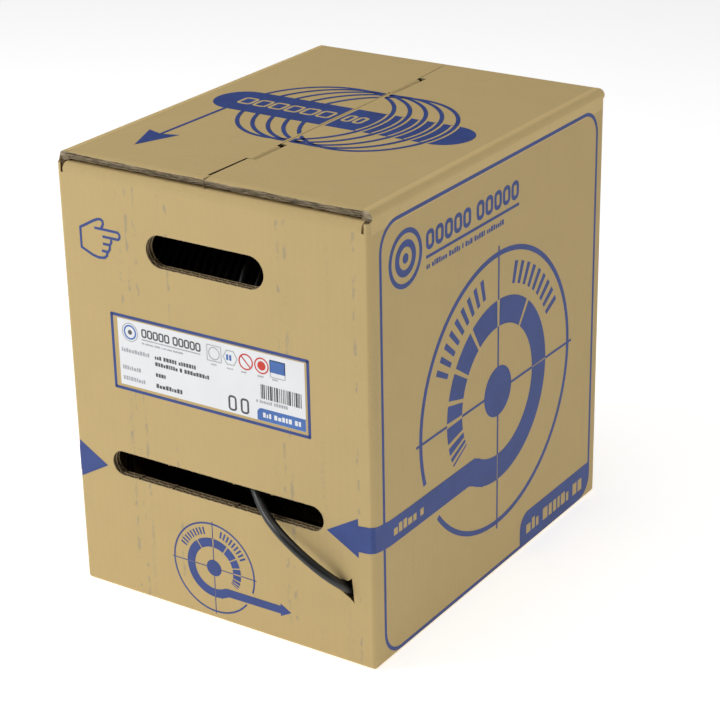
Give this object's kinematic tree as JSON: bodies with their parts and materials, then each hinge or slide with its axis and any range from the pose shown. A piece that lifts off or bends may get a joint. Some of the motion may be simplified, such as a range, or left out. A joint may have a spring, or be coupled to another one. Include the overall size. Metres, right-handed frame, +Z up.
{
  "type": "cable spool box",
  "caption": "Corrugated carton holding a reel of data cable on an axle, with a pull slot in front, hand holes and a locking top seam.",
  "frame": {"origin": "middle of the carton's footprint, on the floor", "axes": "+X to the right across the front and along the reel's axle, +Y to the back, +Z up; the front, with the pull slot, faces -Y"},
  "size_m": [0.262, 0.3468, 0.34],
  "materials": {
    "board": "matte",
    "liner_paper": "matte",
    "label_paper": "satin",
    "hardboard": "matte",
    "hub_plastic": "matte",
    "zinc_steel": "satin",
    "cable_sheath": "satin"
  },
  "bodies": {
    "carton": {"carton_sleeve": "board", "glue_tab": "board", "top_flap_front": "board", "top_flap_back": "board", "bottom_flap_left": "board", "bottom_flap_right": "board", "bottom_flap_front": "board", "bottom_flap_back": "board", "cable_lock_tab": "board", "front_label": "label_paper", "side_pad_left": "board", "side_pad_right": "board", "axle_tube": "liner_paper", "cable_tail": "cable_sheath"},
    "reel": {"reel_core": "liner_paper", "reel_flange_left": "hardboard", "reel_flange_right": "hardboard", "hub_bush_left": "hub_plastic", "hub_bush_right": "hub_plastic", "tie_bolts": "zinc_steel", "tie_nuts": "zinc_steel", "tie_washers": "zinc_steel", "cable_winding": "cable_sheath"},
    "top_flap_left": {"top_flap_left": "board", "lock_tongue_front": "board", "lock_tongue_back": "board"},
    "top_flap_right": {"top_flap_right": "board"},
    "hand_flap_front": {"hand_flap_front": "board"},
    "hand_flap_back": {"hand_flap_back": "board"}
  },
  "joints": [
    {"name": "reel_spin", "type": "hinge", "parent": "carton", "child": "reel", "pos_m": [0, 0, 0.17], "axis": [1, 0, 0], "continuous": true},
    {"name": "top_flap_left_fold", "type": "hinge", "parent": "carton", "child": "top_flap_left", "pos_m": [-0.131, 0, 0.333], "axis": [0, -1, 0], "range_deg": [0, 180]},
    {"name": "top_flap_right_fold", "type": "hinge", "parent": "carton", "child": "top_flap_right", "pos_m": [0.131, 0, 0.333], "axis": [0, 1, 0], "range_deg": [0, 180]},
    {"name": "hand_flap_front_fold", "type": "hinge", "parent": "carton", "child": "hand_flap_front", "pos_m": [-0.0041, -0.158, 0.2941], "axis": [-1, 0, 0], "range_deg": [0, 180]},
    {"name": "hand_flap_back_fold", "type": "hinge", "parent": "carton", "child": "hand_flap_back", "pos_m": [0.0041, 0.158, 0.2941], "axis": [1, 0, 0], "range_deg": [0, 180]}
  ]
}
